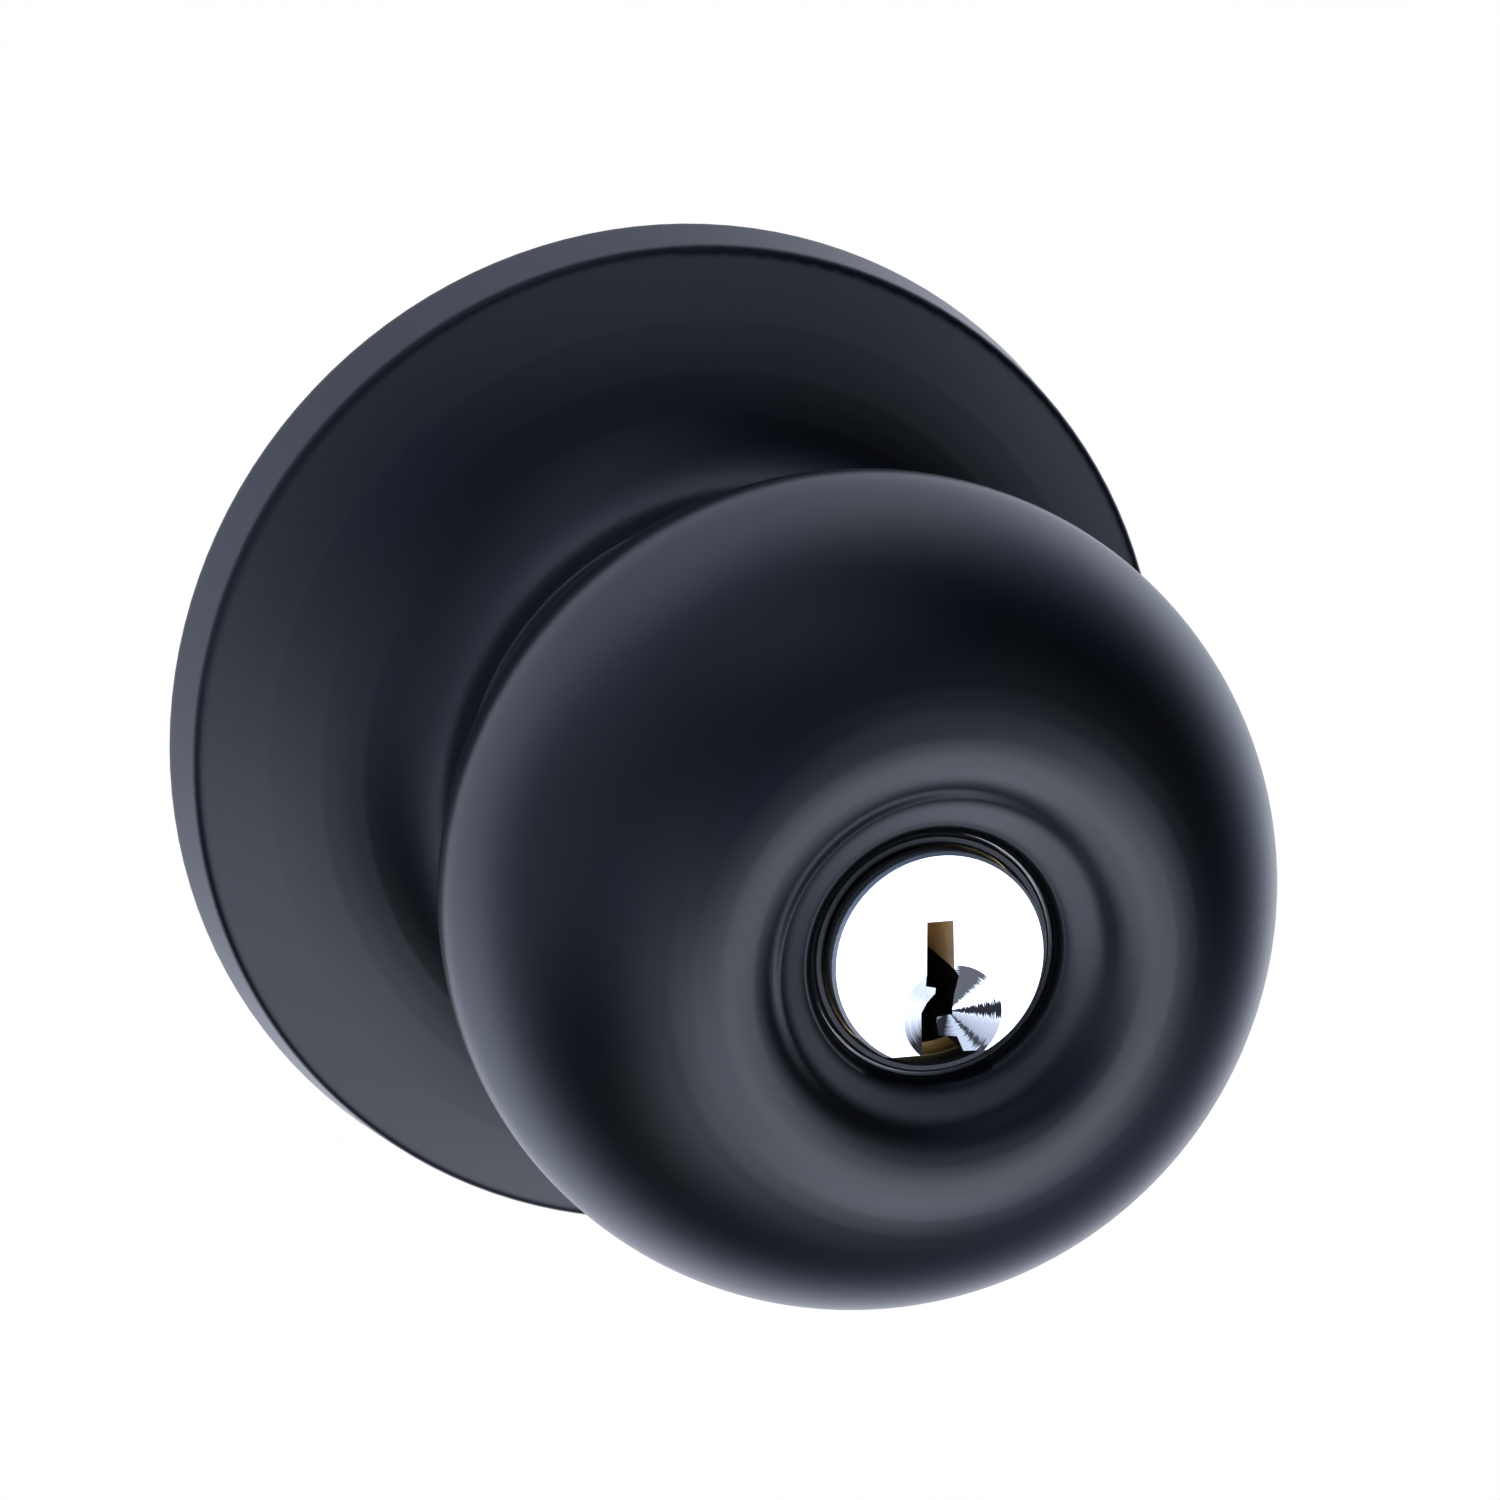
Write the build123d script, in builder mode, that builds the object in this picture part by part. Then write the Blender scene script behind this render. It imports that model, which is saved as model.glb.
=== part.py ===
from build123d import *
from math import asin, cos, degrees, radians, sin, sqrt, tan
import os

# Outside half of a keyed-entry ball door knob: a spun rose and a hollow ball knob with a pin-tumbler
# cylinder in it, with the mounting plate, spring cage, spindle and tailpiece that work the latch.
#
# Millimetres. The origin is on the knob's axis in the plane of the door's face, -Y points out of the
# door and +Z is up. A depth is a distance out of the door's face, so depth d is at y = -d, and what is
# inside the door has a negative depth. The lock is drawn as with the right key in it: the key pins end
# at the shear line, so the plug can turn.

os.makedirs("parts", exist_ok=True)

# ---- driving dimensions ----

# general
FIT_GAP = 0.05  # between pieces that are fitted to each other
RUNNING_GAP = 0.05  # between surfaces that turn on each other
OVERCUT = 1.0  # how far a cut runs past what it cuts

# rose: the spun cover plate on the door
ROSE_R = 33.2
ROSE_SHEET = 0.8
ROSE_BAND_HEIGHT = 4.6
ROSE_DRAFT = 7.0
ROSE_CORNER_R = 0.9
ROSE_RIM_SLOPE = 18.0
ROSE_SWEEPS = ((40.0, 24.0), (28.0, 31.0), (19.0, 40.0), (12.3, 85.0))  # radius, slope at the end

# ball knob: a little flatter than a true ball, so its side is an arc centred off the axis
BALL_R = 25.2
BALL_SIDE_R = 20.2
BALL_DEPTH = 43.05
BALL_SHEET = 1.2
BALL_BACK_HOLE_R = 16.05
CREST_SLOPE = 34.0
CREST_ARCS = ((11.0, 27.0), (6.5, 13.0), (4.0, -15.0), (3.0, -45.0))  # radius, slope at the end
DISH_FLANK = 0.8
DISH_ROOT_R = 1.7
LEDGE_SLOPE = 21.0
LEDGE_INNER_R = 8.34
FRONT_HOLE_EDGE_R = 1.7

# neck of the knob and what carries it
NECK_R = 16.8
NECK_BORE_R = 15.3
NECK_SPIGOT_R = 16.0
NECK_REAR = -2.6
NECK_RING_GROOVE_R = 16.2

# mounting plate and spring cage
PLATE_SHEET = 2.0
PLATE_R = 31.6
PLATE_SKIRT = 1.2
PLATE_SKIRT_FRONT = 4.0
BOSS_R = 26.6
BOSS_LENGTH = 5.5
SPINDLE_HOLE_R = 8.5
CAGE_SHEET = 1.2
CAGE_R = 23.4
CAGE_FRONT = 9.0
CAGE_FLANGE_R = 30.1
CAGE_HOLE_R = 18.0
CAGE_CORNER_R = 1.1
FINGER_HALF_WIDTH = 3.5
RIVET_CIRCLE_R = 28.2
RIVET_R = 1.3
RIVET_ANGLES = (90, 210, 330)

# threaded mounting posts, at the 38 mm spacing of a tubular lock's screws
POST_SPACING = 38.0
POST_R = 3.5
POST_LENGTH = 24.0
POST_TAP_R = 1.7
POST_TAP_DEPTH = 18.0

# drive plate, spindle and tailpiece
DRIVE_BACK = -2.5
DRIVE_SHEET = 2.0
EAR_HALF_WIDTH = 3.9
EAR_TIP_R = 21.2
SPINDLE_R = 5.5
SPINDLE_FLAT = 4.4
SPINDLE_BORE_R = 3.35
SPINDLE_REAR = -62.0
TAIL_WIDTH = 5.6
TAIL_THICKNESS = 1.2
TAIL_REAR = -68.0

# return spring
SPRING_WIRE_R = 0.7
SPRING_R = 21.2
SPRING_PITCH = 1.6
SPRING_TURNS = 2
SPRING_BACK = 0.8

# pin-tumbler cylinder
PLUG_FRONT = 59.0
PLUG_REAR = 28.6
PLUG_HEAD_R = 6.43
PLUG_SHANK_R = 6.15
PLUG_SHOULDER = 54.6
PLUG_FLAT = 5.55
PLUG_FIT = 0.04
BODY_R = 8.4
BODY_FRONT = 56.0
BODY_REAR = 31.2
FIN_HALF_WIDTH = 3.8
FIN_TOP = 14.6
PIN_COUNT = 5
PIN_PITCH = 3.9
FIRST_PIN_SETBACK = 6.3
PIN_R = 1.46
CHAMBER_R = 1.5
KEY_PIN_TOP = 5.95
KEY_PIN_LENGTHS = (6.45, 5.2, 6.0, 4.7, 5.6)
DRIVER_BOTTOM = 6.2
DRIVER_LENGTH = 3.6
DRIVER_CHAMFER = 0.15
COVER_SHEET = 0.8

# ---- places worked out from them ----

PROFILE = Plane(origin=(0, 0, 0), x_dir=(1, 0, 0), z_dir=(0, 0, -1))  # x is radius, y is depth
PLATE_FLOOR_BACK = -BOSS_LENGTH
PLATE_FLOOR_FRONT = PLATE_FLOOR_BACK + PLATE_SHEET
CAGE_CEILING = CAGE_FRONT - CAGE_SHEET
PIN_DEPTHS = [PLUG_FRONT - FIRST_PIN_SETBACK - PIN_PITCH * i for i in range(PIN_COUNT)]
DRIVE_FRONT = DRIVE_BACK + DRIVE_SHEET
BALL_SIDE_CENTRE_R = BALL_R - BALL_SIDE_R


def across(depth):
    """Plane across the axis at a depth. Its x is +X, its y is +Z, and it faces out of the door."""
    return Plane.XZ.offset(depth)


def tube(outer_r, inner_r, back, front, mode=Mode.ADD):
    """Add or cut a tube round the axis between two depths."""
    with BuildSketch(across(back)) as section:
        Circle(outer_r)
        Circle(inner_r, mode=Mode.SUBTRACT)
    extrude(section.sketch, amount=front - back, mode=mode)


def bar(outer_r, back, front, mode=Mode.ADD):
    """Add or cut a solid cylinder on the axis between two depths."""
    with BuildSketch(across(back)) as section:
        Circle(outer_r)
    extrude(section.sketch, amount=front - back, mode=mode)


def block(x_range, z_range, depth_range, mode=Mode.ADD):
    """Add or cut a box given by its ranges in x, z and depth."""
    centre = (sum(x_range) / 2, sum(z_range) / 2)
    with BuildSketch(across(depth_range[0])) as section:
        with Locations(centre):
            Rectangle(x_range[1] - x_range[0], z_range[1] - z_range[0])
    extrude(section.sketch, amount=depth_range[1] - depth_range[0], mode=mode)


# ---- rose ----


def rose_outline(inset):
    """Outline of the rose from the door to the top of its hub, set in from the outer surface."""
    draft = radians(ROSE_DRAFT)
    band_top_r = ROSE_R - ROSE_BAND_HEIGHT * tan(draft)
    band_top = (band_top_r - inset * cos(draft), ROSE_BAND_HEIGHT - inset * sin(draft))
    band = Line((ROSE_R - inset / cos(draft), 0), band_top)
    corner_turn = 90 - ROSE_DRAFT - ROSE_RIM_SLOPE
    arc = JernArc(band @ 1, band % 1, ROSE_CORNER_R - inset, corner_turn)
    slope = ROSE_RIM_SLOPE
    for radius, end_slope in ROSE_SWEEPS:
        arc = JernArc(arc @ 1, arc % 1, radius + inset, slope - end_slope)
        slope = end_slope
    return arc


with BuildPart() as rose:
    with BuildSketch(PROFILE):
        with BuildLine():
            outer_hub = rose_outline(0)
            rose_outline(ROSE_SHEET)
            rim_inner_r = ROSE_R - ROSE_SHEET / cos(radians(ROSE_DRAFT))
            JernArc(outer_hub @ 1, outer_hub % 1, ROSE_SHEET / 2, 180)
            Line((ROSE_R, 0), (rim_inner_r, 0))
        make_face()
    revolve(axis=Axis.Y)
rose.part.label = "rose"
export_step(rose.part, "parts/rose.step")

# ---- mounting plate: a pan whose boss drops into the door's bore ----

with BuildPart() as mounting_plate:
    tube(PLATE_R, BOSS_R - PLATE_SHEET, 0, PLATE_SHEET)
    tube(PLATE_R, PLATE_R - PLATE_SKIRT, PLATE_SHEET, PLATE_SKIRT_FRONT)
    tube(BOSS_R, BOSS_R - PLATE_SHEET, PLATE_FLOOR_BACK, PLATE_SHEET)
    tube(BOSS_R, SPINDLE_HOLE_R, PLATE_FLOOR_BACK, PLATE_FLOOR_FRONT)
    with BuildSketch(across(PLATE_FLOOR_BACK)):
        with GridLocations(POST_SPACING, 0, 2, 1):
            Circle(POST_R + FIT_GAP)
    extrude(amount=PLATE_SHEET, mode=Mode.SUBTRACT)
    with BuildSketch(across(0)):
        for angle in RIVET_ANGLES:
            with PolarLocations(RIVET_CIRCLE_R, 1, angle):
                Circle(RIVET_R)
    extrude(amount=PLATE_SHEET, mode=Mode.SUBTRACT)
mounting_plate.part.label = "mounting_plate"
export_step(mounting_plate.part, "parts/mounting_plate.step")

# ---- spring cage: a drawn cup over the spring, with a finger that anchors it ----

FIXED_FINGER_Z = (19.2, 20.0)
FINGER_BACK = 0.0

with BuildPart() as spring_cage:
    tube(CAGE_FLANGE_R, CAGE_R - CAGE_SHEET, PLATE_SHEET, PLATE_SHEET + CAGE_SHEET)
    tube(CAGE_R, CAGE_R - CAGE_SHEET, PLATE_SHEET, CAGE_FRONT)
    tube(CAGE_R, CAGE_HOLE_R, CAGE_CEILING, CAGE_FRONT)
    rim = spring_cage.edges().filter_by(GeomType.CIRCLE).group_by(Axis.Y)[0].sort_by(SortBy.RADIUS)[-1]
    fillet(rim, CAGE_CORNER_R)
    block((-FINGER_HALF_WIDTH, FINGER_HALF_WIDTH), FIXED_FINGER_Z, (FINGER_BACK, CAGE_CEILING))
    with BuildSketch(across(PLATE_SHEET)):
        for angle in RIVET_ANGLES:
            with PolarLocations(RIVET_CIRCLE_R, 1, angle):
                Circle(RIVET_R)
    extrude(amount=CAGE_SHEET, mode=Mode.SUBTRACT)
spring_cage.part.label = "spring_cage"
export_step(spring_cage.part, "parts/spring_cage.step")

# ---- rivets that join the cage to the plate, flush at the door ----

RIVET_HEAD_R = 1.75
RIVET_HEAD_HEIGHT = 1.0
RIVET_HEAD_ROUND = 0.6

with BuildPart() as cage_rivets:
    for angle in RIVET_ANGLES:
        with BuildSketch(across(0)):
            with PolarLocations(RIVET_CIRCLE_R, 1, angle):
                Circle(RIVET_R)
        extrude(amount=PLATE_SHEET + CAGE_SHEET)
        with BuildSketch(across(PLATE_SHEET + CAGE_SHEET)):
            with PolarLocations(RIVET_CIRCLE_R, 1, angle):
                Circle(RIVET_HEAD_R)
        extrude(amount=RIVET_HEAD_HEIGHT)
    head_tops = cage_rivets.edges().filter_by(GeomType.CIRCLE).group_by(Axis.Y)[0]
    fillet(head_tops, RIVET_HEAD_ROUND)
cage_rivets.part.label = "cage_rivets"
export_step(cage_rivets.part, "parts/cage_rivets.step")

# ---- mounting posts: their oblong heads inside the plate are also the knob's stops ----

POST_REAR = PLATE_FLOOR_BACK - POST_LENGTH
STOP_X = 19.7
STOP_WIDTH = 4.2
STOP_HEIGHT = 10.9
STOP_FRONT = -0.2
STOP_CORNER_R = 0.6

with BuildPart() as mounting_posts:
    with BuildSketch(across(POST_REAR)):
        with GridLocations(POST_SPACING, 0, 2, 1):
            Circle(POST_R)
    extrude(amount=PLATE_FLOOR_FRONT - POST_REAR)
    with BuildSketch(across(PLATE_FLOOR_FRONT)):
        with GridLocations(2 * STOP_X, 0, 2, 1):
            RectangleRounded(STOP_WIDTH, STOP_HEIGHT, STOP_CORNER_R)
    extrude(amount=STOP_FRONT - PLATE_FLOOR_FRONT)
    with BuildSketch(across(POST_REAR)):
        with GridLocations(POST_SPACING, 0, 2, 1):
            Circle(POST_TAP_R)
    extrude(amount=POST_TAP_DEPTH, mode=Mode.SUBTRACT)
mounting_posts.part.label = "mounting_posts"
export_step(mounting_posts.part, "parts/mounting_posts.step")

# ---- bearing bushing between the cage and the knob's neck ----

BUSHING_FLANGE_R = 19.8
BUSHING_FLANGE_SHEET = 1.0
BUSHING_FRONT = 13.5

with BuildPart() as bearing_bushing:
    tube(CAGE_HOLE_R - FIT_GAP, NECK_R + RUNNING_GAP, CAGE_CEILING, BUSHING_FRONT)
    tube(BUSHING_FLANGE_R, NECK_R + RUNNING_GAP, CAGE_FRONT, CAGE_FRONT + BUSHING_FLANGE_SHEET)
bearing_bushing.part.label = "bearing_bushing"
export_step(bearing_bushing.part, "parts/bearing_bushing.step")

# ---- thrust washer under the cage's ceiling ----

WASHER_R = 19.0
WASHER_BORE_R = 17.1
WASHER_BACK = 7.1

with BuildPart() as thrust_washer:
    tube(WASHER_R, WASHER_BORE_R, WASHER_BACK, CAGE_CEILING)
thrust_washer.part.label = "thrust_washer"
export_step(thrust_washer.part, "parts/thrust_washer.step")

# ---- return spring: a torsion spring with two legs turned in past the fingers ----

LEG_GAP = 0.1
LEG_X = FINGER_HALF_WIDTH + SPRING_WIRE_R + LEG_GAP
LEG_INNER_Z = 17.5
LEG_ANGLE = degrees(asin(LEG_X / SPRING_R))
LEG_OUTER_Z = sqrt(SPRING_R**2 - LEG_X**2)
SPRING_SWEEP = SPRING_TURNS - 2 * LEG_ANGLE / 360
SPRING_HEIGHT = SPRING_PITCH * SPRING_SWEEP
SPRING_PLANE = Plane(
    origin=(0, -SPRING_BACK, 0),
    x_dir=(-sin(radians(LEG_ANGLE)), 0, cos(radians(LEG_ANGLE))),
    z_dir=(0, -1, 0),
)

with BuildPart() as return_spring:
    with BuildLine() as coil:
        add(SPRING_PLANE * Helix(SPRING_PITCH, SPRING_HEIGHT, SPRING_R, mode=Mode.PRIVATE))
    with BuildSketch(Plane(origin=coil.line @ 0, z_dir=coil.line % 0)):
        Circle(SPRING_WIRE_R)
    sweep(path=coil.line, is_frenet=True)
    for leg_x, leg_depth in ((-LEG_X, SPRING_BACK), (LEG_X, SPRING_BACK + SPRING_HEIGHT)):
        with Locations((leg_x, -leg_depth, LEG_OUTER_Z)):
            Sphere(SPRING_WIRE_R)
        with BuildSketch(Plane.XY.offset(LEG_INNER_Z)):
            with Locations((leg_x, -leg_depth)):
                Circle(SPRING_WIRE_R)
        extrude(amount=LEG_OUTER_Z - LEG_INNER_Z)
return_spring.part.label = "return_spring"
export_step(return_spring.part, "parts/return_spring.step")

# ---- knob shell: spun ball with a dished front and a hole for the cylinder ----

SHELL_HOLE_R = LEDGE_INNER_R - FRONT_HOLE_EDGE_R * (1 - sin(radians(LEDGE_SLOPE)))


def ball_back(radius, inset):
    """Depth of the ball's back at a radius, for a surface set in from the outer one."""
    return BALL_DEPTH - sqrt((BALL_SIDE_R - inset) ** 2 - (radius - BALL_SIDE_CENTRE_R) ** 2)


def ball_outline(inset):
    """Outline from the ball's back hole over its crest to the dish's ledge, set in from the surface."""
    side_r = BALL_SIDE_R - inset
    start = (BALL_BACK_HOLE_R, ball_back(BALL_BACK_HOLE_R, inset))
    turn = radians(CREST_SLOPE)
    end = (BALL_SIDE_CENTRE_R + side_r * sin(turn), BALL_DEPTH + side_r * cos(turn))
    arc = ThreePointArc(start, (BALL_SIDE_CENTRE_R + side_r, BALL_DEPTH), end)
    slope = CREST_SLOPE
    for radius, end_slope in CREST_ARCS:
        arc = JernArc(arc @ 1, arc % 1, radius - inset, slope - end_slope)
        slope = end_slope
    flank = Line(arc @ 1, arc @ 1 + DISH_FLANK * (arc % 1))
    return JernArc(flank @ 1, arc % 1, DISH_ROOT_R + inset, slope + LEDGE_SLOPE)


with BuildPart() as knob_shell:
    with BuildSketch(PROFILE):
        with BuildLine():
            ledge_fall = sin(radians(LEDGE_SLOPE)) / cos(radians(LEDGE_SLOPE))
            outer_root = ball_outline(0)
            outer_end = outer_root @ 1
            ledge_depth = outer_end.Y - (outer_end.X - LEDGE_INNER_R) * ledge_fall
            ledge = Line(outer_end, (LEDGE_INNER_R, ledge_depth))
            edge = JernArc(ledge @ 1, outer_root % 1, FRONT_HOLE_EDGE_R, 90 - LEDGE_SLOPE)
            inner_end = ball_outline(BALL_SHEET) @ 1
            lip_depth = inner_end.Y - (inner_end.X - SHELL_HOLE_R) * ledge_fall
            Line(edge @ 1, (SHELL_HOLE_R, lip_depth))
            Line((SHELL_HOLE_R, lip_depth), inner_end)
            back_outer = ball_back(BALL_BACK_HOLE_R, 0)
            back_inner = ball_back(BALL_BACK_HOLE_R, BALL_SHEET)
            Line((BALL_BACK_HOLE_R, back_outer), (BALL_BACK_HOLE_R, back_inner))
        make_face()
    revolve(axis=Axis.Y)
knob_shell.part.label = "knob_shell"
export_step(knob_shell.part, "parts/knob_shell.step")

# ---- neck: tube shouldered against the ball, its front end rolled over inside it ----

RING_BACK = 6.05
RING_FRONT = 7.0
ROLL_OUTER = (17.5, 28.95)
ROLL_INNER = (16.9, 29.5)
ROLL_START_DEPTH = 27.7
ROLL_END_DEPTH = 28.45

with BuildPart() as knob_neck:
    with BuildSketch(PROFILE):
        with BuildLine():
            seat_mid_r = (NECK_R + NECK_SPIGOT_R) / 2
            seat_outer = (NECK_R, ball_back(NECK_R, -FIT_GAP))
            seat_inner = (NECK_SPIGOT_R, ball_back(NECK_SPIGOT_R, -FIT_GAP))
            Polyline((NECK_BORE_R, NECK_REAR), (NECK_R, NECK_REAR), seat_outer)
            ThreePointArc(seat_outer, (seat_mid_r, ball_back(seat_mid_r, -FIT_GAP)), seat_inner)
            Polyline(
                seat_inner,
                (NECK_SPIGOT_R, ROLL_START_DEPTH),
                ROLL_OUTER,
                ROLL_INNER,
                (NECK_BORE_R, ROLL_END_DEPTH),
                (NECK_BORE_R, NECK_REAR),
            )
        make_face()
    revolve(axis=Axis.Y)
    groove_depths = (RING_BACK - FIT_GAP, RING_FRONT + FIT_GAP)
    tube(NECK_R + OVERCUT, NECK_RING_GROOVE_R, *groove_depths, Mode.SUBTRACT)
    notch_x = (-EAR_HALF_WIDTH - FIT_GAP, EAR_HALF_WIDTH + FIT_GAP)
    notch_z = (-NECK_R - OVERCUT, NECK_R + OVERCUT)
    block(notch_x, notch_z, (NECK_REAR, DRIVE_FRONT + FIT_GAP), Mode.SUBTRACT)
knob_neck.part.label = "knob_neck"
export_step(knob_neck.part, "parts/knob_neck.step")

# ---- retaining ring in the neck's groove, which keeps the knob in the cage ----

RING_R = 18.5
RING_GAP_HALF_WIDTH = 4.0

with BuildPart() as retaining_ring:
    tube(RING_R, NECK_RING_GROOVE_R + FIT_GAP, RING_BACK, RING_FRONT)
    gap_x = (-RING_GAP_HALF_WIDTH, RING_GAP_HALF_WIDTH)
    block(gap_x, (-RING_R - OVERCUT, 0), (RING_BACK, RING_FRONT), Mode.SUBTRACT)
retaining_ring.part.label = "retaining_ring"
export_step(retaining_ring.part, "parts/retaining_ring.step")

# ---- drive plate in the neck's rear end: its ears meet the posts at the end of the turn ----

DRIVE_R = NECK_BORE_R - FIT_GAP
DRIVE_FINGER_Z = (17.3, 18.5)
DRIVE_FINGER_FRONT = 5.5
SPINDLE_FIT = 0.02


def spindle_section(depth, gap):
    """Round section with one flat, the spindle's, drawn at a depth and wider all round by gap."""
    radius = SPINDLE_R + gap
    with BuildSketch(across(depth)) as section:
        Circle(radius)
        with Locations((0, SPINDLE_FLAT + gap)):
            Rectangle(2 * radius, radius, align=(Align.CENTER, Align.MIN), mode=Mode.SUBTRACT)
    return section.sketch


with BuildPart() as drive_plate:
    bar(DRIVE_R, DRIVE_BACK, DRIVE_FRONT)
    with BuildSketch(across(DRIVE_BACK)):
        Circle(EAR_TIP_R)
        Rectangle(2 * EAR_HALF_WIDTH, 2 * EAR_TIP_R, mode=Mode.INTERSECT)
    extrude(amount=DRIVE_SHEET)
    finger_x = (-FINGER_HALF_WIDTH, FINGER_HALF_WIDTH)
    block(finger_x, DRIVE_FINGER_Z, (DRIVE_FRONT, DRIVE_FINGER_FRONT))
    extrude(spindle_section(DRIVE_BACK, SPINDLE_FIT), amount=DRIVE_SHEET, mode=Mode.SUBTRACT)
drive_plate.part.label = "drive_plate"
export_step(drive_plate.part, "parts/drive_plate.step")

# ---- spindle: a flatted tube that turns the latch, with the tailpiece inside it ----

SPINDLE_FLANGE_R = 7.0
SPINDLE_FLANGE_SHEET = 1.2
SPINDLE_TIP_CHAMFER = 0.5
CLIP_GROOVE_R = 5.0
SPINDLE_CLIP_DEPTHS = (-3.25, -2.55)

with BuildPart() as spindle:
    extrude(spindle_section(SPINDLE_REAR, 0), amount=DRIVE_FRONT - SPINDLE_REAR)
    chamfer(spindle.edges().group_by(Axis.Y)[-1], SPINDLE_TIP_CHAMFER)
    bar(SPINDLE_FLANGE_R, DRIVE_FRONT, DRIVE_FRONT + SPINDLE_FLANGE_SHEET)
    groove_depths = (SPINDLE_CLIP_DEPTHS[0] - FIT_GAP, SPINDLE_CLIP_DEPTHS[1] + FIT_GAP)
    tube(SPINDLE_R + OVERCUT, CLIP_GROOVE_R, *groove_depths, Mode.SUBTRACT)
    bar(SPINDLE_BORE_R, SPINDLE_REAR, DRIVE_FRONT + SPINDLE_FLANGE_SHEET, Mode.SUBTRACT)
spindle.part.label = "spindle"
export_step(spindle.part, "parts/spindle.step")

# ---- spindle clip behind the drive plate ----

SPINDLE_CLIP_R = 7.6
SPINDLE_CLIP_MOUTH = 4.2

with BuildPart() as spindle_clip:
    tube(SPINDLE_CLIP_R, CLIP_GROOVE_R + FIT_GAP, *SPINDLE_CLIP_DEPTHS)
    mouth_x = (-SPINDLE_CLIP_MOUTH, SPINDLE_CLIP_MOUTH)
    block(mouth_x, (-SPINDLE_CLIP_R - OVERCUT, 0), SPINDLE_CLIP_DEPTHS, Mode.SUBTRACT)
spindle_clip.part.label = "spindle_clip"
export_step(spindle_clip.part, "parts/spindle_clip.step")

# ---- insert: casting in the ball that holds the cylinder ----

INSERT_FRONT = 57.0
INSERT_SEAT = 56.1
INSERT_REAR = 31.2
INSERT_SLEEVE_R = 10.6
INSERT_BORE_R = BODY_R + FIT_GAP
INSERT_NOSE_R = 9.45
INSERT_FLANGE_FRONT = 34.2
INSERT_SKIRT_R = NECK_BORE_R - FIT_GAP
INSERT_SKIRT_BORE_R = 14.0
INSERT_SKIRT_REAR = 23.5
INSERT_CHEEK_HALF_WIDTH = 5.6
INSERT_CHEEK_TOP = 15.8
FIN_SLOT_HALF_WIDTH = FIN_HALF_WIDTH + FIT_GAP
COLLAR_R = 7.1
SCREW_X = 11.2
SCREW_HOLE_R = 1.25

with BuildPart() as knob_insert:
    bar(INSERT_SLEEVE_R, INSERT_REAR, INSERT_SEAT)
    bar(INSERT_SKIRT_R, INSERT_REAR, INSERT_FLANGE_FRONT)
    tube(INSERT_SKIRT_R, INSERT_SKIRT_BORE_R, INSERT_SKIRT_REAR, INSERT_FLANGE_FRONT)
    cheek_x = (-INSERT_CHEEK_HALF_WIDTH, INSERT_CHEEK_HALF_WIDTH)
    block(cheek_x, (0, INSERT_CHEEK_TOP), (INSERT_FLANGE_FRONT, INSERT_SEAT))
    bar(INSERT_BORE_R, INSERT_REAR, INSERT_SEAT, Mode.SUBTRACT)
    slot_x = (-FIN_SLOT_HALF_WIDTH, FIN_SLOT_HALF_WIDTH)
    slot_z = (0, INSERT_CHEEK_TOP + OVERCUT)
    slot_depths = (INSERT_SKIRT_REAR, INSERT_SEAT - BODY_FRONT + PLUG_SHOULDER)
    block(slot_x, slot_z, slot_depths, Mode.SUBTRACT)
    tube(INSERT_NOSE_R, COLLAR_R + FIT_GAP, INSERT_SEAT, INSERT_FRONT)
    with BuildSketch(across(INSERT_REAR)):
        with GridLocations(2 * SCREW_X, 0, 2, 1):
            Circle(SCREW_HOLE_R)
    extrude(amount=INSERT_FLANGE_FRONT - INSERT_REAR, mode=Mode.SUBTRACT)
knob_insert.part.label = "knob_insert"
export_step(knob_insert.part, "parts/knob_insert.step")

# ---- collar: hardened ring round the plug's head, in the ball's front hole ----

COLLAR_BORE_R = 6.53
COLLAR_FRONT = 57.5
COLLAR_CHAMFER = 0.15

with BuildPart() as cylinder_collar:
    tube(COLLAR_R, COLLAR_BORE_R, BODY_FRONT, COLLAR_FRONT)
    front_edges = cylinder_collar.edges().filter_by(GeomType.CIRCLE).group_by(Axis.Y)[0]
    chamfer(front_edges, COLLAR_CHAMFER)
cylinder_collar.part.label = "cylinder_collar"
export_step(cylinder_collar.part, "parts/cylinder_collar.step")

# ---- cylinder body: round barrel with the fin that holds the pin chambers ----

FIN_FRONT = PLUG_SHOULDER
FIN_REAR = BODY_REAR
COVER_X = (-2.5, 2.5)
COVER_BOTTOM = FIN_TOP - COVER_SHEET


def pin_circles(height, radius):
    """A circle for each pin chamber on a level plane."""
    with BuildSketch(Plane.XY.offset(height)) as section:
        with Locations(*[(0, -depth) for depth in PIN_DEPTHS]):
            Circle(radius)
    return section.sketch


with BuildPart() as cylinder_body:
    bar(BODY_R, BODY_REAR, BODY_FRONT)
    block((-FIN_HALF_WIDTH, FIN_HALF_WIDTH), (0, FIN_TOP), (FIN_REAR, FIN_FRONT))
    bar(PLUG_SHANK_R + PLUG_FIT, BODY_REAR, BODY_FRONT, Mode.SUBTRACT)
    bar(PLUG_HEAD_R + PLUG_FIT, PLUG_SHOULDER - PLUG_FIT, BODY_FRONT, Mode.SUBTRACT)
    extrude(pin_circles(0, CHAMBER_R), amount=FIN_TOP, mode=Mode.SUBTRACT)
    block(COVER_X, (COVER_BOTTOM, FIN_TOP), (FIN_REAR, FIN_FRONT), Mode.SUBTRACT)
cylinder_body.part.label = "cylinder_body"
export_step(cylinder_body.part, "parts/cylinder_body.step")

# ---- chamber cover: strip pressed into the top of the fin ----

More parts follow.
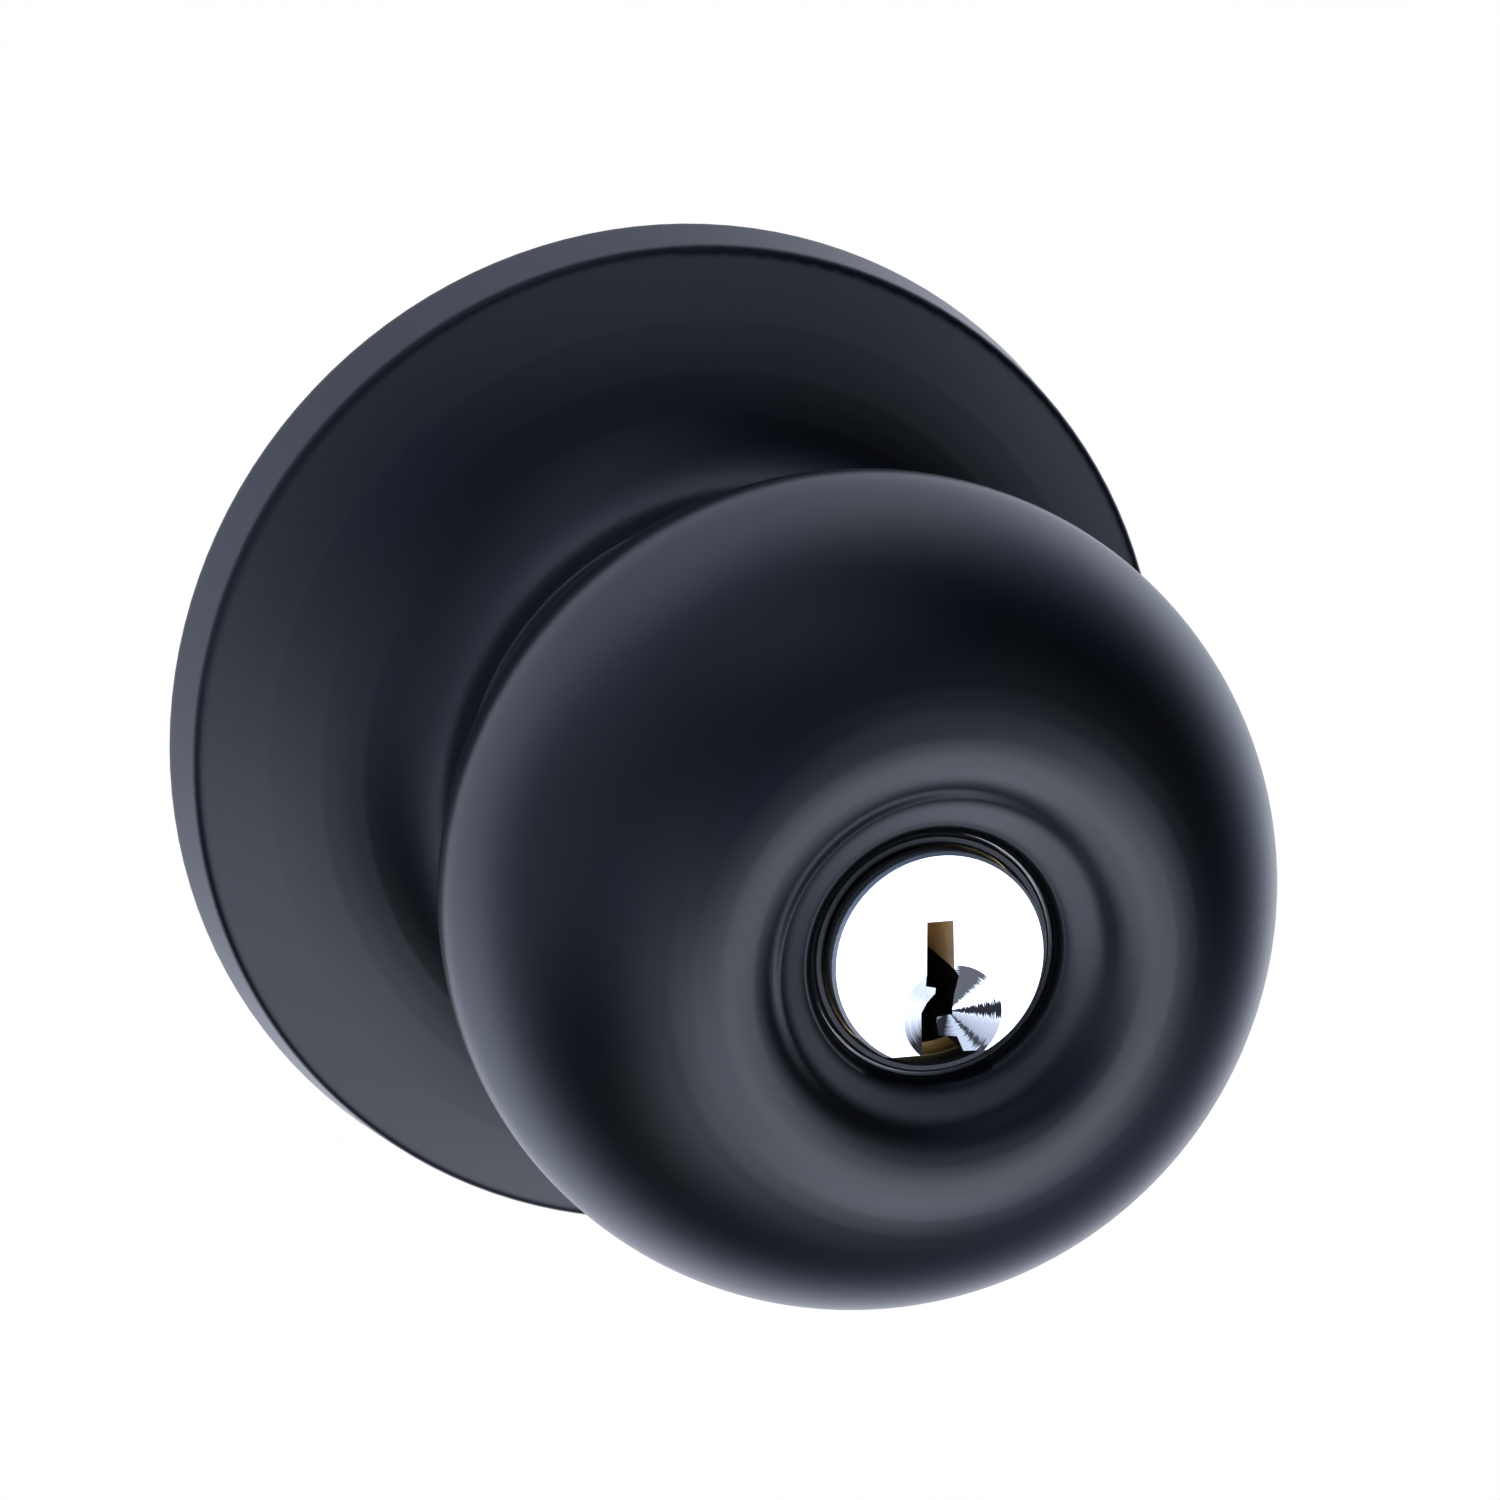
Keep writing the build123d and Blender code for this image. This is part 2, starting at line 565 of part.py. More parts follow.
with BuildPart() as chamber_cover:
    block(COVER_X, (COVER_BOTTOM, FIN_TOP), (FIN_REAR, FIN_FRONT))
chamber_cover.part.label = "chamber_cover"
export_step(chamber_cover.part, "parts/chamber_cover.step")

# ---- plug: keyed core with a flat underneath and a turned guide dish round the keyway's mouth ----

KEYWAY = (
    (-0.80, 2.35),
    (0.78, 2.35),
    (0.86, -0.50),
    (1.20, -1.05),
    (1.05, -2.20),
    (1.02, -3.50),
    (0.05, -3.55),
    (0.00, -3.85),
    (0.12, -4.60),
    (1.20, -4.72),
    (1.60, -5.80),
    (1.60, -7.00),
    (-1.00, -7.00),
    (-1.00, -3.15),
    (-0.66, -2.57),
    (-0.15, -2.05),
    (-0.15, -1.70),
    (-0.80, -1.50),
)
KEYWAY_REAR = 34.6
CHAMBER_BOTTOM = -0.9
FACE_CHAMFER = 0.2
DISH_X = 0.77
DISH_Z = -3.3
DISH_R = 2.95
DISH_DEPTH = 0.9
TAIL_SLOT_FRONT = 33.6
TAIL_SLOT_HALF_WIDTH = 0.63
PLUG_CLIP_DEPTHS = (30.25, 31.05)
PLUG_CLIP_GROOVE_R = 5.2
TAIL_PIN_R = 0.75
TAIL_PIN_DEPTH = 32.45
TAIL_PIN_HALF_LENGTH = 5.9


def tail_pin(mode=Mode.ADD):
    """Add the tailpiece's cross pin, or cut its hole."""
    with BuildSketch(Plane.YZ.offset(-TAIL_PIN_HALF_LENGTH)) as section:
        with Locations((-TAIL_PIN_DEPTH, 0)):
            Circle(TAIL_PIN_R)
    extrude(section.sketch, amount=2 * TAIL_PIN_HALF_LENGTH, mode=mode)


with BuildPart() as plug:
    bar(PLUG_SHANK_R, PLUG_REAR, PLUG_FRONT)
    bar(PLUG_HEAD_R, PLUG_SHOULDER, PLUG_FRONT)
    chamfer(plug.edges().filter_by(GeomType.CIRCLE).group_by(Axis.Y)[0], FACE_CHAMFER)
    flat_z = (-PLUG_HEAD_R - OVERCUT, -PLUG_FLAT)
    block((-PLUG_HEAD_R, PLUG_HEAD_R), flat_z, (PLUG_REAR, PLUG_FRONT), Mode.SUBTRACT)
    with BuildSketch(Plane(origin=(DISH_X, -PLUG_FRONT, DISH_Z), x_dir=(1, 0, 0), z_dir=(0, 0, -1))):
        with BuildLine():
            Polyline((0, -DISH_DEPTH), (DISH_R, 0), (DISH_R, OVERCUT), (0, OVERCUT), close=True)
        make_face()
    revolve(axis=Axis((DISH_X, 0, DISH_Z), (0, 1, 0)), mode=Mode.SUBTRACT)
    with BuildSketch(across(KEYWAY_REAR)):
        with BuildLine():
            Polyline(*KEYWAY, close=True)
        make_face()
    extrude(amount=PLUG_FRONT - KEYWAY_REAR, mode=Mode.SUBTRACT)
    chambers = pin_circles(CHAMBER_BOTTOM, CHAMBER_R)
    extrude(chambers, amount=PLUG_SHANK_R - CHAMBER_BOTTOM, mode=Mode.SUBTRACT)
    groove = (PLUG_CLIP_DEPTHS[0] - FIT_GAP, PLUG_CLIP_DEPTHS[1] + FIT_GAP)
    tube(PLUG_HEAD_R, PLUG_CLIP_GROOVE_R, *groove, Mode.SUBTRACT)
    slot_x = (-TAIL_SLOT_HALF_WIDTH, TAIL_SLOT_HALF_WIDTH)
    block(slot_x, (-PLUG_HEAD_R, PLUG_HEAD_R), (PLUG_REAR, TAIL_SLOT_FRONT), Mode.SUBTRACT)
    tail_pin(Mode.SUBTRACT)
plug.part.label = "plug"
export_step(plug.part, "parts/plug.step")

# ---- pins and springs in the five chambers ----

TIP_CHAMFER = 0.8
SPRING_BOTTOM = DRIVER_BOTTOM + DRIVER_LENGTH
PIN_SPRING_WIRE_R = 0.16
PIN_SPRING_R = 1.2
PIN_SPRING_TURNS = 5

with BuildPart() as key_pins:
    for pin_depth, pin_length in zip(PIN_DEPTHS, KEY_PIN_LENGTHS):
        with BuildSketch(Plane.XY.offset(KEY_PIN_TOP)):
            with Locations((0, -pin_depth)):
                Circle(PIN_R)
        extrude(amount=-pin_length)
    tips = key_pins.edges().filter_by(lambda edge: edge.center().Z < KEY_PIN_TOP / 2)
    chamfer(tips.filter_by(GeomType.CIRCLE), TIP_CHAMFER)
key_pins.part.label = "key_pins"
export_step(key_pins.part, "parts/key_pins.step")

with BuildPart() as driver_pins:
    extrude(pin_circles(DRIVER_BOTTOM, PIN_R), amount=DRIVER_LENGTH)
    chamfer(driver_pins.edges().filter_by(GeomType.CIRCLE), DRIVER_CHAMFER)
driver_pins.part.label = "driver_pins"
export_step(driver_pins.part, "parts/driver_pins.step")

with BuildPart() as one_pin_spring:
    coil_start = SPRING_BOTTOM + PIN_SPRING_WIRE_R
    coil_height = COVER_BOTTOM - SPRING_BOTTOM - 2 * PIN_SPRING_WIRE_R
    with BuildLine(Plane.XY.offset(coil_start)):
        wire = Helix(coil_height / PIN_SPRING_TURNS, coil_height, PIN_SPRING_R)
    with BuildSketch(Plane(origin=wire @ 0, z_dir=wire % 0)):
        Circle(PIN_SPRING_WIRE_R)
    sweep(path=wire, is_frenet=True)

with BuildPart() as pin_springs:
    with Locations(*[(0, -depth, 0) for depth in PIN_DEPTHS]):
        add(one_pin_spring.part)
pin_springs.part.label = "pin_springs"
export_step(pin_springs.part, "parts/pin_springs.step")

# ---- plug clip: keeps the plug from being drawn out of the front ----

PLUG_CLIP_R = 7.9
PLUG_CLIP_MOUTH = 4.4

with BuildPart() as plug_clip:
    tube(PLUG_CLIP_R, PLUG_CLIP_GROOVE_R + FIT_GAP, *PLUG_CLIP_DEPTHS)
    mouth_x = (-PLUG_CLIP_MOUTH, PLUG_CLIP_MOUTH)
    block(mouth_x, (-PLUG_CLIP_R - OVERCUT, 0), PLUG_CLIP_DEPTHS, Mode.SUBTRACT)
plug_clip.part.label = "plug_clip"
export_step(plug_clip.part, "parts/plug_clip.step")

# ---- tailpiece: flat blade from the plug through the spindle, and the pin that holds it ----

TAIL_HEAD_FRONT = 33.5
TAIL_TIP_CHAMFER = 1.0

with BuildPart() as tailpiece:
    tail_x = (-TAIL_THICKNESS / 2, TAIL_THICKNESS / 2)
    block(tail_x, (-TAIL_WIDTH / 2, TAIL_WIDTH / 2), (TAIL_REAR, TAIL_HEAD_FRONT))
    chamfer(tailpiece.edges().filter_by(Axis.X).group_by(Axis.Y)[-1], TAIL_TIP_CHAMFER)
    tail_pin(Mode.SUBTRACT)
tailpiece.part.label = "tailpiece"
export_step(tailpiece.part, "parts/tailpiece.step")

with BuildPart() as tailpiece_pin:
    tail_pin()
tailpiece_pin.part.label = "tailpiece_pin"
export_step(tailpiece_pin.part, "parts/tailpiece_pin.step")

# ---- retainer plate and its two screws, which hold the cylinder in the insert ----

RETAINER_R = 13.9
RETAINER_BORE_R = 8.2
RETAINER_BACK = 30.0
RETAINER_FRONT = BODY_REAR
SCREW_R = 1.2
SCREW_HEAD_R = 2.2
SCREW_HEAD_HEIGHT = 1.4
SCREW_HEAD_ROUND = 0.5
SCREW_FRONT = 33.5
SCREW_SLOT = 0.6

with BuildPart() as cylinder_retainer:
    tube(RETAINER_R, RETAINER_BORE_R, RETAINER_BACK, RETAINER_FRONT)
    with BuildSketch(across(RETAINER_BACK)):
        with GridLocations(2 * SCREW_X, 0, 2, 1):
            Circle(SCREW_HOLE_R)
    extrude(amount=RETAINER_FRONT - RETAINER_BACK, mode=Mode.SUBTRACT)
cylinder_retainer.part.label = "cylinder_retainer"
export_step(cylinder_retainer.part, "parts/cylinder_retainer.step")

with BuildPart() as retainer_screws:
    with BuildSketch(across(RETAINER_BACK)):
        with GridLocations(2 * SCREW_X, 0, 2, 1):
            Circle(SCREW_R)
    extrude(amount=SCREW_FRONT - RETAINER_BACK)
    with BuildSketch(across(RETAINER_BACK - SCREW_HEAD_HEIGHT)):
        with GridLocations(2 * SCREW_X, 0, 2, 1):
            Circle(SCREW_HEAD_R)
    extrude(amount=SCREW_HEAD_HEIGHT)
    head_rims = retainer_screws.edges().filter_by(GeomType.CIRCLE).group_by(Axis.Y)[-1]
    fillet(head_rims, SCREW_HEAD_ROUND)
    with BuildSketch(across(RETAINER_BACK - SCREW_HEAD_HEIGHT)):
        with GridLocations(2 * SCREW_X, 0, 2, 1):
            Rectangle(2 * SCREW_HEAD_R, SCREW_SLOT)
    extrude(amount=SCREW_HEAD_HEIGHT / 2, mode=Mode.SUBTRACT)
retainer_screws.part.label = "retainer_screws"
export_step(retainer_screws.part, "parts/retainer_screws.step")
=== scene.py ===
import math

import bpy
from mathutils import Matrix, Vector


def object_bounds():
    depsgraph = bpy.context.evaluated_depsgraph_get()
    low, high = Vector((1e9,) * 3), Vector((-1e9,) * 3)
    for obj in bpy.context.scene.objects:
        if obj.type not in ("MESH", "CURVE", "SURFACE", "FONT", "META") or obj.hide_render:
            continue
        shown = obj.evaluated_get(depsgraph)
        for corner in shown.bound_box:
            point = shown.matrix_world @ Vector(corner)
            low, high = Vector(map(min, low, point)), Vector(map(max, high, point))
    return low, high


# A keyed ball door knob on its rose, in front of a white studio. Metres, in the CAD's frame: the origin is
# on the knob's axis at the door's face, -Y points out of the door and +Z is up.

CAMERA_DISTANCE = 0.42144
CAMERA_AZIMUTH = -15.37
CAMERA_ELEVATION = 13.905
CAMERA_TARGET = Vector((0.005739, 0.0, -0.002231))
CAMERA_LENS = 153.6
DISH_CENTRE = (0.00077, 0.0, -0.0033)
DISH_RADIUS = 0.00297
PLATED_RADIUS = 0.0063  # the side of the plug's head, outside this radius, is plated like its face
# top, bottom and soft top edge of the band inside the keyway that is painted black as shade
KEYWAY_SHADE_TOP = -0.0003
KEYWAY_SHADE_BOTTOM = -0.0062
KEYWAY_SHADE_FADE = 0.0001
SPINNING_SOFTNESS = 0.0005  # evens out the shading over the facets of the spun arcs
FLOOR_HALF_SIZE = 1.5
FLOOR_DROP = 0.02

# soft lights far round the object: azimuth, elevation and colour of each. All fade alike with the angle.
LIGHT_TIGHTNESS = 16.0
LIGHTS = [
    (0, 81, (0.14, 0.19, 0.28)),
    (-85, 70, (0.19, 0.20, 0.27)),
    (-170, 63, (0.07, 0.11, 0.21)),
    (-32, 60, (0.04, 0.06, 0.08)),
    (-117, 55, (0.01, 0.04, 0.09)),
    (20, 53, (0.00, 0.00, 0.04)),
    (158, 51, (0.39, 0.41, 0.47)),
    (-65, 49, (0.05, 0.07, 0.10)),
    (-150, 45, (0.50, 0.54, 0.69)),
    (125, 41, (0.07, 0.10, 0.20)),
    (-97, 39, (0.17, 0.20, 0.29)),
    (40, 37, (0.14, 0.16, 0.19)),
    (178, 36, (0.19, 0.22, 0.31)),
    (-45, 34, (0.05, 0.06, 0.09)),
    (-130, 31, (0.16, 0.18, 0.28)),
    (8, 29, (0.34, 0.42, 0.59)),
    (145, 28, (0.22, 0.24, 0.30)),
    (-77, 26, (0.02, 0.05, 0.11)),
    (-25, 22, (0.06, 0.09, 0.22)),
    (-110, 19, (0.08, 0.11, 0.15)),
    (28, 17, (0.20, 0.22, 0.29)),
    (-57, 14, (0.20, 0.23, 0.31)),
    (-142, 12, (0.40, 0.45, 0.58)),
    (-5, 10, (0.17, 0.16, 0.18)),
    (133, 9, (0.60, 0.65, 0.80)),
    (-90, 8, (0.17, 0.19, 0.26)),
    (48, 6, (0.48, 0.57, 0.72)),
    (-175, 5, (0.28, 0.32, 0.43)),
    (-37, 3, (0.11, 0.14, 0.20)),
    (-122, 1, (0.08, 0.08, 0.15)),
    (15, -1, (0.09, 0.17, 0.20)),
    (-70, -3, (0.07, 0.09, 0.18)),
    (-155, -6, (0.03, 0.02, 0.03)),
    (-17, -8, (0.34, 0.42, 0.53)),
    (120, -9, (0.07, 0.10, 0.20)),
    (-102, -10, (0.14, 0.20, 0.28)),
    (35, -12, (1.11, 1.15, 1.42)),
    (173, -13, (0.59, 0.62, 0.71)),
    (-50, -14, (0.44, 0.52, 0.69)),
    (-135, -17, (0.52, 0.58, 0.72)),
    (3, -19, (1.50, 1.59, 1.93)),
    (140, -20, (0.55, 0.57, 0.63)),
    (55, -23, (0.17, 0.24, 0.33)),
    (-30, -26, (0.97, 1.07, 1.35)),
    (-115, -29, (0.00, 0.00, 0.04)),
    (23, -31, (0.71, 0.81, 0.97)),
    (160, -32, (0.15, 0.15, 0.16)),
    (76, -36, (0.17, 0.22, 0.33)),
    (-147, -37, (0.51, 0.57, 0.75)),
    (-9, -39, (0.40, 0.42, 0.54)),
    (128, -41, (0.16, 0.18, 0.27)),
    (43, -45, (0.88, 0.95, 1.15)),
    (-179, -47, (0.56, 0.60, 0.72)),
    (-42, -49, (1.05, 1.16, 1.38)),
    (11, -55, (1.67, 1.79, 2.17)),
    (148, -58, (0.05, 0.08, 0.13)),
    (63, -63, (0.14, 0.18, 0.30)),
    (-159, -66, (0.00, 0.00, 0.04)),
    (-22, -70, (0.13, 0.19, 0.25)),
]

# painted reflection, as dark streaks in the chrome's colour round the guide dish: angle from its right
# side, half width in degrees, softness and depth
PAINTED_REFLECTION_STREAKS = [
    (3.0, 9.0, 3.0, 0.995),
    (66.0, 17.0, 9.0, 0.95),
    (-49.0, 4.0, 4.0, 0.93),
    (-28.0, 16.0, 5.0, 0.45),
    (-126.0, 20.0, 34.0, 0.985),
    (128.0, 16.0, 16.0, 0.35),
]

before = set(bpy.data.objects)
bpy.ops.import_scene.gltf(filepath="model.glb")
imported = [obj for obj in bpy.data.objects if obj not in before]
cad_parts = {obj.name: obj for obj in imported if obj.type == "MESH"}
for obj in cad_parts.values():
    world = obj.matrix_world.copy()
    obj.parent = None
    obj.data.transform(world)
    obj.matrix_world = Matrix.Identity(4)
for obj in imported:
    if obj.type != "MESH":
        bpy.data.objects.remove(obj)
cad_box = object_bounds()


# ---- node trees ----


class Nodes:
    """A node tree being written. The methods add nodes, link or set their inputs and return an output."""

    def __init__(self, tree):
        self.tree = tree
        tree.nodes.clear()

    def add(self, kind, inputs=None, **settings):
        node = self.tree.nodes.new(kind)
        for key, value in settings.items():
            setattr(node, key, value)
        for key, value in (inputs or {}).items():
            self.put(value, node.inputs[key])
        return node

    def put(self, value, socket):
        if isinstance(value, bpy.types.NodeSocket):
            self.tree.links.new(value, socket)
        else:
            socket.default_value = value

    def math(self, operation, *values):
        return self.add("ShaderNodeMath", dict(enumerate(values)), operation=operation).outputs[0]

    def vector(self, operation, *values, output="Vector"):
        node = self.add("ShaderNodeVectorMath", dict(enumerate(values)), operation=operation)
        return node.outputs[output]

    def noise(self, place, scale, detail=2.0, roughness=0.5):
        inputs = {"Vector": place, "Scale": scale, "Detail": detail, "Roughness": roughness}
        return self.add("ShaderNodeTexNoise", inputs).outputs["Fac"]

    def spread(self, value, source, target):
        """Map a value from one range to another, held at the ends."""
        inputs = {"Value": value, "From Min": source[0], "From Max": source[1]}
        inputs.update({"To Min": target[0], "To Max": target[1]})
        return self.add("ShaderNodeMapRange", inputs).outputs["Result"]

    def blend(self, factor, a, b):
        """Mix two colours."""
        node = self.add("ShaderNodeMix", data_type="RGBA")
        factor_input, a_input, b_input = [s for s in node.inputs if s.enabled]
        self.put(factor, factor_input)
        self.put(a, a_input)
        self.put(b, b_input)
        return next(s for s in node.outputs if s.enabled)

    def bump(self, height, strength, distance, normal=None):
        """Grain from a height, over a given normal or the surface's own."""
        inputs = {"Strength": strength, "Distance": distance, "Height": height}
        if normal:
            inputs["Normal"] = normal
        return self.add("ShaderNodeBump", inputs).outputs["Normal"]

    def edges(self, low, high, patchy):
        """1 on convex edges and 0 elsewhere, broken up by a noise."""
        pointed = self.add("ShaderNodeNewGeometry").outputs["Pointiness"]
        return self.math("MULTIPLY", self.spread(pointed, (low, high), (0.0, 1.0)), patchy)

    def place(self):
        return self.add("ShaderNodeTexCoord").outputs["Object"]

    def finish(self, shader):
        self.add("ShaderNodeOutputMaterial", {"Surface": shader})


def material_nodes(name):
    """An empty node tree for a material slot of the CAD's, or for a new material."""
    material = bpy.data.materials.get(name) or bpy.data.materials.new(name)
    material.use_nodes = True
    return Nodes(material.node_tree)


# ---- materials ----

COAT_DARK = (0.0034, 0.0038, 0.0048, 1)
COAT_PALE = (0.0046, 0.0052, 0.0064, 1)
COAT_RUBBED = (0.014, 0.015, 0.017, 1)
DUST = (0.16, 0.17, 0.18, 1)
CHROME_PALE = (0.95, 0.95, 0.97, 1)
CHROME_DULL = (0.90, 0.91, 0.93, 1)
# near black, for the streaks of painted reflection in the guide dish
CHROME_PAINTED_REFLECTION = (0.012, 0.012, 0.014, 1)
BRASS_DARK = (0.66, 0.47, 0.23, 1)
BRASS_PALE = (0.95, 0.76, 0.45, 1)
KEYWAY_FLOOR = (0.60, 0.56, 0.52, 1)
# black for the painted shade in the keyway
KEYWAY_PAINTED_SHADE = (0.006, 0.005, 0.004, 1)


def black_finish():
    """Satin black coat: fine grain, slight cloudiness, a few dust specks, rubbed a little on edges."""
    n = material_nodes("black_finish")
    place = n.place()
    cloud = n.noise(place, 70.0, 3.0)
    grain = n.noise(place, 7000.0)
    peel = n.noise(place, 1400.0)
    worn = n.edges(0.53, 0.62, cloud)
    tone = n.blend(cloud, COAT_DARK, COAT_PALE)
    tone = n.blend(worn, tone, COAT_RUBBED)
    cells = n.add("ShaderNodeTexVoronoi", {"Vector": place, "Scale": 260.0, "Randomness": 1.0})
    chosen = n.add("ShaderNodeSeparateColor", {"Color": cells.outputs["Color"]}).outputs[0]
    dot = n.spread(cells.outputs["Distance"], (0.010, 0.020), (1.0, 0.0))
    speck = n.math("MULTIPLY", dot, n.math("GREATER_THAN", chosen, 0.93))
    tone = n.blend(speck, tone, DUST)
    height = n.math("ADD", n.math("MULTIPLY", grain, 0.4), n.math("MULTIPLY", peel, 0.6))
    polish = n.math("SUBTRACT", cloud, n.math("MULTIPLY", worn, 0.1))
    soft = n.add("ShaderNodeBevel", {"Radius": SPINNING_SOFTNESS}, samples=8).outputs["Normal"]
    inputs = {
        "Base Color": tone,
        "Roughness": n.spread(polish, (0.3, 0.7), (0.18, 0.22)),
        "Specular IOR Level": 0.5,
        "Normal": n.bump(height, 0.3, 0.00002, soft),
    }
    n.finish(n.add("ShaderNodeBsdfPrincipled", inputs).outputs[0])


def metal(name, pale, dull, gloss, grain_scale, grain_strength, metallic=1.0, edge=None):
    """Metal or nylon with a cloudy tone, uneven roughness, a fine grain and rubbed edges."""
    n = material_nodes(name)
    place = n.place()
    cloud = n.noise(place, 140.0, 4.0)
    grain = n.noise(place, grain_scale, 3.0)
    worn = n.edges(0.52, 0.60, grain)
    tone = n.blend(worn, n.blend(cloud, pale, dull), edge or pale)
    inputs = {
        "Base Color": tone,
        "Metallic": metallic,
        "Roughness": n.spread(n.math("ADD", cloud, grain), (0.7, 1.3), gloss),
        "Normal": n.bump(grain, grain_strength, 0.00003),
    }
    n.finish(n.add("ShaderNodeBsdfPrincipled", inputs).outputs[0])


def chromed_plug():
    """Bright chrome on the plug's face, with turned rings and dark streaks of painted reflection in the
    guide dish, and bare brass behind it, painted black as shade over part of its height.
    """
    n = material_nodes("chromed_plug")
    place = n.place()
    normal = n.add("ShaderNodeNewGeometry").outputs["True Normal"]
    parts = n.add("ShaderNodeSeparateXYZ", {"Vector": normal})
    facing = n.math("ABSOLUTE", parts.outputs["Y"])
    from_knob_axis = n.vector("LENGTH", n.vector("MULTIPLY", place, (1.0, 0.0, 1.0)), output="Value")
    plated = n.spread(facing, (0.35, 0.5), (0.0, 1.0))
    plated = n.math("MAXIMUM", plated, n.math("GREATER_THAN", from_knob_axis, PLATED_RADIUS))
    flat = n.spread(facing, (0.97, 0.99), (0.0, 1.0))

    # the rings run round the guide dish's own axis
    from_axis = n.vector("MULTIPLY", n.vector("SUBTRACT", place, DISH_CENTRE), (1.0, 0.0, 1.0))
    radius = n.vector("LENGTH", from_axis, output="Value")
    along = n.vector("CROSS_PRODUCT", n.vector("NORMALIZE", from_axis), (0.0, 1.0, 0.0))
    wander = n.math("MULTIPLY", n.noise(place, 900.0), 0.00010)
    line = n.add("ShaderNodeCombineXYZ", {0: n.math("ADD", radius, wander)}).outputs[0]
    rings = n.noise(line, 9000.0, 4.0, 0.7)
    turned = n.math("MULTIPLY", rings, n.math("SUBTRACT", 1.0, flat))

    # angle round the dish's axis, ragged from ring to ring, for the dark streaks of painted reflection in
    # the chrome's colour
    sides = n.add("ShaderNodeSeparateXYZ", {"Vector": from_axis})
    ragged = n.spread(n.noise(line, 11000.0, 2.0, 0.6), (0.3, 0.7), (-8.0, 8.0))
    turn = n.math("DEGREES", n.math("ARCTAN2", sides.outputs["Z"], sides.outputs["X"]))
    turn = n.math("ADD", turn, ragged)
    outside_painted_streaks = 1.0
    for middle, half_width, softness, depth in PAINTED_REFLECTION_STREAKS:
        off = n.math("ABSOLUTE", n.math("WRAP", n.math("SUBTRACT", turn, middle), 180.0, -180.0))
        shade = n.spread(off, (half_width, half_width + softness), (1.0 - depth, 1.0))
        outside_painted_streaks = n.math("MULTIPLY", outside_painted_streaks, shade)
    outside_painted_streaks = n.math("MAXIMUM", outside_painted_streaks, n.math("GREATER_THAN", radius, DISH_RADIUS))
    fine = n.noise(place, 6000.0)
    cloud = n.noise(place, 300.0, 3.0)
    worn = n.edges(0.54, 0.64, cloud)
    gloss = n.spread(flat, (0.0, 1.0), (0.20, 0.10))
    # the base colour carries the painted reflection: dark streaks in the chrome inside the guide dish
    chrome_inputs = {
        "Base Color": n.blend(outside_painted_streaks, CHROME_PAINTED_REFLECTION, n.blend(cloud, CHROME_PALE, CHROME_DULL)),
        "Metallic": 1.0,
        "Roughness": n.math("ADD", gloss, n.math("MULTIPLY", cloud, 0.05)),
        "Anisotropic": 0.75,
        "Tangent": along,
        "Normal": n.bump(n.math("ADD", turned, n.math("MULTIPLY", fine, 0.04)), 0.6, 0.00002),
    }
    chrome = n.add("ShaderNodeBsdfPrincipled", chrome_inputs).outputs[0]

    # inside, brass with slanting tool marks, painted black as shade over part of its height
    slant = {"Vector": place, "Rotation": (0.6, 0.0, 0.0), "Scale": (1, 0.15, 1)}
    broached = n.add("ShaderNodeMapping", slant).outputs[0]
    tool = n.noise(broached, 5000.0, 3.0, 0.6)
    height = n.add("ShaderNodeSeparateXYZ", {"Vector": place}).outputs["Z"]
    height = n.math("ADD", height, n.math("MULTIPLY", tool, 0.0006))
    painted_shade = n.spread(height, (KEYWAY_SHADE_TOP - KEYWAY_SHADE_FADE, KEYWAY_SHADE_TOP), (1.0, 0.0))
    painted_shade = n.math("MULTIPLY", painted_shade, n.math("GREATER_THAN", height, KEYWAY_SHADE_BOTTOM))
    bare = n.blend(n.math("MAXIMUM", tool, worn), BRASS_DARK, BRASS_PALE)
    floor = n.math("LESS_THAN", height, KEYWAY_SHADE_BOTTOM)
    bare = n.blend(floor, bare, KEYWAY_FLOOR)
    brass_inputs = {
        "Base Color": n.blend(painted_shade, bare, KEYWAY_PAINTED_SHADE),
        "Metallic": 0.25,
        "Roughness": n.spread(tool, (0.3, 0.7), (0.5, 0.7)),
        "Normal": n.bump(tool, 0.5, 0.00004),
    }
    brass = n.add("ShaderNodeBsdfPrincipled", brass_inputs).outputs[0]
    n.finish(n.add("ShaderNodeMixShader", {0: plated, 1: brass, 2: chrome}).outputs[0])


# ---- stage, light and camera ----


def direction(azimuth, elevation):
    """Unit vector from the object: azimuth 0 is straight out of the door, positive to the right."""
    a = math.radians(azimuth)
    e = math.radians(elevation)
    return Vector((math.sin(a) * math.cos(e), -math.cos(a) * math.cos(e), math.sin(e)))


def add_camera():
    """Camera a little to the left of the knob and above it."""
    camera = bpy.data.objects.new("camera", bpy.data.cameras.new("camera"))
    bpy.context.scene.collection.objects.link(camera)
    camera.location = CAMERA_DISTANCE * direction(CAMERA_AZIMUTH, CAMERA_ELEVATION)
    camera.rotation_euler = (CAMERA_TARGET - camera.location).to_track_quat("-Z", "Y").to_euler()
    camera.data.lens = CAMERA_LENS
    camera.data.clip_start = 0.01
    bpy.context.scene.camera = camera


